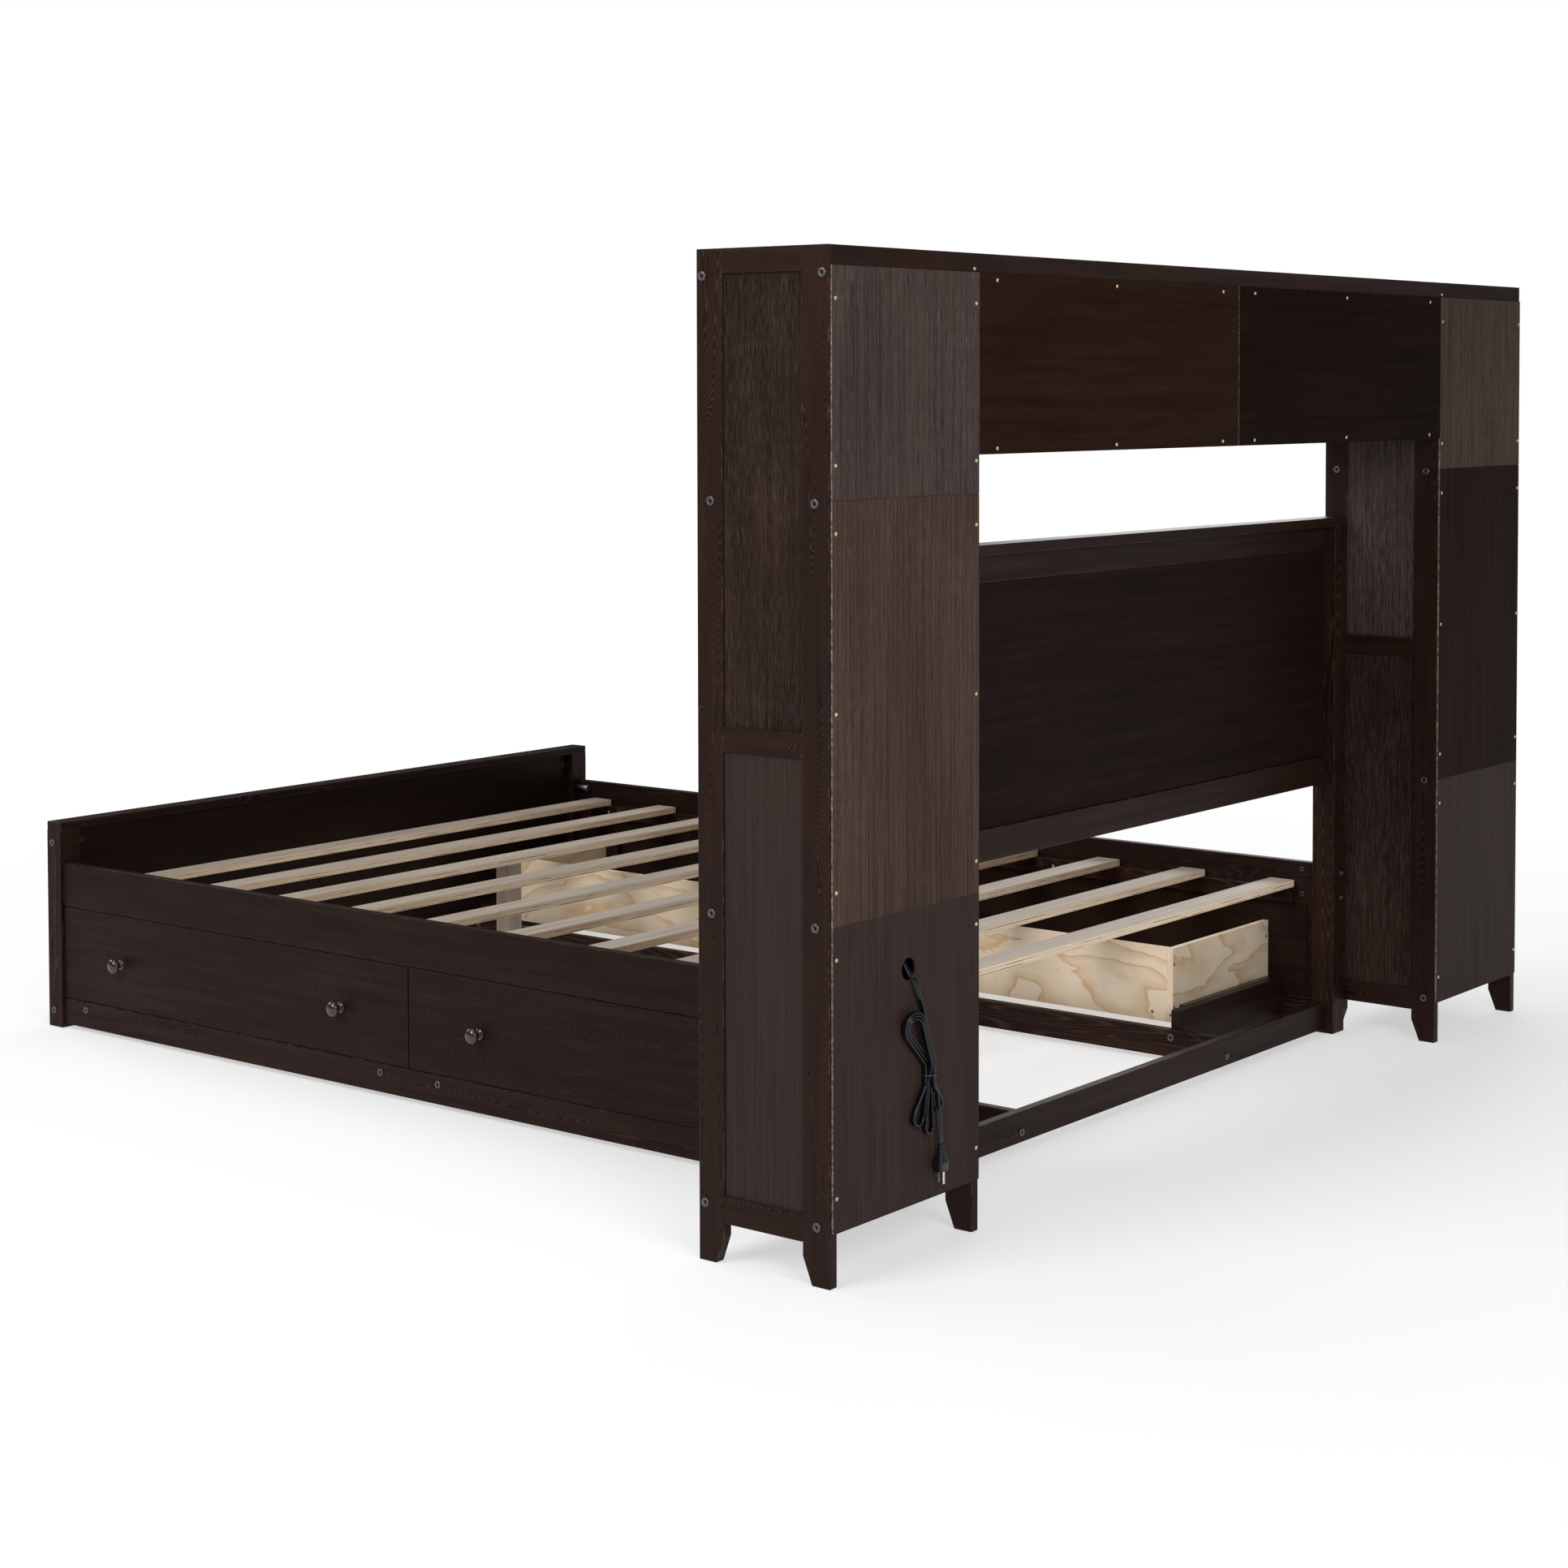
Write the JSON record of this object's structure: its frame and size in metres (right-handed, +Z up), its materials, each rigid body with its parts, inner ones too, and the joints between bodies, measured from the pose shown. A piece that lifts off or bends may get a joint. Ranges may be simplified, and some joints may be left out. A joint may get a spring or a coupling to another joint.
{
  "type": "storage bed with wall cabinet",
  "caption": "Queen platform bed with side drawers, low footboard and slats, its headboard standing between two cabinet towers joined by a bridge cabinet.",
  "frame": {"origin": "on the floor, under the centre of the whole piece's box without its free power cord", "axes": "+Z up, +Y towards the head end and the cabinet's back, +X to the right when looking from the foot to the head"},
  "size_m": [2.3636, 2.3469, 1.515],
  "materials": {
    "espresso_wood": "satin stained wood",
    "stained_veneer": "satin stained veneer",
    "stained_plywood": "satin stained plywood",
    "pine_plywood": "bare pine plywood",
    "slat_wood": "bare laminated wood",
    "bronze": "glossy dark bronze",
    "gunmetal": "dark zinc",
    "brass_screw": "pale brass plating",
    "blade_metal": "nickel plating",
    "black_plastic": "black moulded plastic",
    "cord_pvc": "black PVC"
  },
  "bodies": {
    "bed_and_cabinet": {"headboard_posts": "espresso_wood", "headboard_rails": "espresso_wood", "headboard_panel": "espresso_wood", "headboard_cap": "espresso_wood", "footboard_posts": "espresso_wood", "footboard_rails": "espresso_wood", "footboard_panel": "espresso_wood", "footboard_cap": "espresso_wood", "upper_side_rails": "espresso_wood", "low_side_rails": "espresso_wood", "inner_rails": "espresso_wood", "drawer_guides": "espresso_wood", "slide_channels": "gunmetal", "slat_ledgers": "espresso_wood", "slats": "slat_wood", "slat_legs": "slat_wood", "end_fillers": "espresso_wood", "right_tower_frames": "espresso_wood", "right_tower_panels": "stained_veneer", "right_tower_shelves": "espresso_wood", "right_tower_back": "stained_veneer", "left_tower_frames": "espresso_wood", "left_tower_panels": "stained_veneer", "left_tower_shelves": "espresso_wood", "left_tower_back": "stained_veneer", "hinge_pins": "gunmetal", "bridge_boards": "espresso_wood", "bridge_back": "stained_plywood", "top_rims": "espresso_wood", "frame_bolts": "gunmetal", "back_screws": "brass_screw", "power_unit": "black_plastic", "power_faceplate": "black_plastic", "cord_lead": "cord_pvc", "cord_hank": "cord_pvc", "cord_tail": "cord_pvc", "plug_body": "black_plastic", "plug_blades": "blade_metal"},
    "right_foot_drawer": {"right_foot_drawer_front": "espresso_wood", "right_foot_drawer_box": "pine_plywood", "right_foot_drawer_knobs": "bronze", "right_foot_drawer_slides": "gunmetal"},
    "right_head_drawer": {"right_head_drawer_front": "espresso_wood", "right_head_drawer_box": "pine_plywood", "right_head_drawer_knobs": "bronze", "right_head_drawer_slides": "gunmetal"},
    "right_cupboard_door": {"right_door": "espresso_wood", "right_door_knob": "bronze", "right_door_hinges": "gunmetal"},
    "left_foot_drawer": {"left_foot_drawer_front": "espresso_wood", "left_foot_drawer_box": "pine_plywood", "left_foot_drawer_knobs": "bronze", "left_foot_drawer_slides": "gunmetal"},
    "left_head_drawer": {"left_head_drawer_front": "espresso_wood", "left_head_drawer_box": "pine_plywood", "left_head_drawer_knobs": "bronze", "left_head_drawer_slides": "gunmetal"},
    "left_cupboard_door": {"left_door": "espresso_wood", "left_door_knob": "bronze", "left_door_hinges": "gunmetal"}
  },
  "joints": [
    {"name": "right_foot_drawer_slide", "type": "slide", "parent": "bed_and_cabinet", "child": "right_foot_drawer", "axis": [1, 0, 0], "range_m": [0, 0.26]},
    {"name": "right_head_drawer_slide", "type": "slide", "parent": "bed_and_cabinet", "child": "right_head_drawer", "axis": [1, 0, 0], "range_m": [0, 0.26]},
    {"name": "left_foot_drawer_slide", "type": "slide", "parent": "bed_and_cabinet", "child": "left_foot_drawer", "axis": [-1, 0, 0], "range_m": [0, 0.26]},
    {"name": "left_head_drawer_slide", "type": "slide", "parent": "bed_and_cabinet", "child": "left_head_drawer", "axis": [-1, 0, 0], "range_m": [0, 0.26]},
    {"name": "right_door_hinge", "type": "hinge", "parent": "bed_and_cabinet", "child": "right_cupboard_door", "pos_m": [1.162, 0.9085, 0.307], "axis": [0, 0, 1], "range_deg": [0, 100]},
    {"name": "left_door_hinge", "type": "hinge", "parent": "bed_and_cabinet", "child": "left_cupboard_door", "pos_m": [-1.162, 0.9085, 0.307], "axis": [0, 0, -1], "range_deg": [0, 100]}
  ]
}
